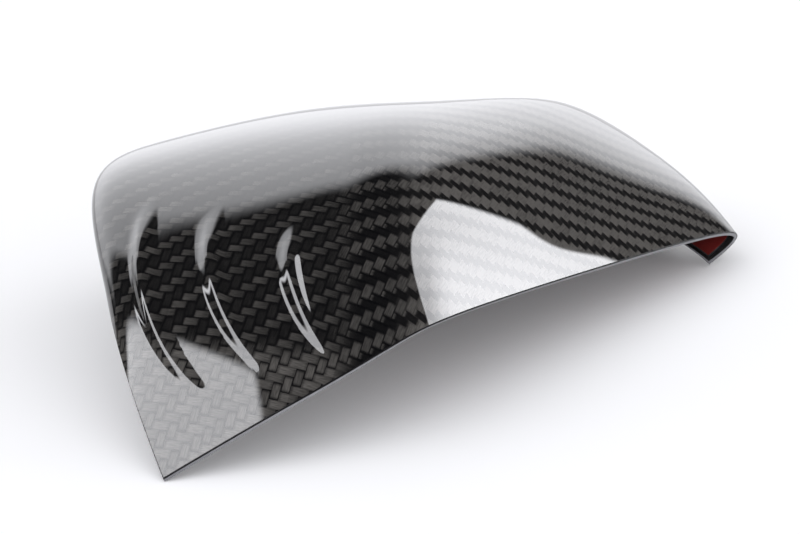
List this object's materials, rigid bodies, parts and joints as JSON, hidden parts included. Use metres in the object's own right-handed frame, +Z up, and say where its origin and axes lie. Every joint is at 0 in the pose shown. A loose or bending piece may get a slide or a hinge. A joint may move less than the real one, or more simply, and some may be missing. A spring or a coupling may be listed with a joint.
{
  "type": "wing mirror cover",
  "caption": "Thin carbon-fibre shell that sticks over a car's wing mirror housing, double curved and open below, with swept gills at its wide end.",
  "frame": {"origin": "under the middle of the cover's box, on the surface that it lies on", "axes": "+X along the cover from the wide end with the gills to the tapered end, +Y from the near trim edge to the far one, +Z up from the open side"},
  "size_m": [0.219, 0.1234, 0.0523],
  "materials": {
    "carbon": "twill laminate under clear gloss",
    "foam_tape": "matt black foam tape",
    "release_liner": "smooth red film"
  },
  "bodies": {
    "root": {"shell": "carbon", "tape_near": "foam_tape", "tape_far": "foam_tape", "tape_left": "foam_tape", "tape_right": "foam_tape", "liner_near": "release_liner", "liner_far": "release_liner", "liner_left": "release_liner", "liner_right": "release_liner"}
  },
  "joints": []
}
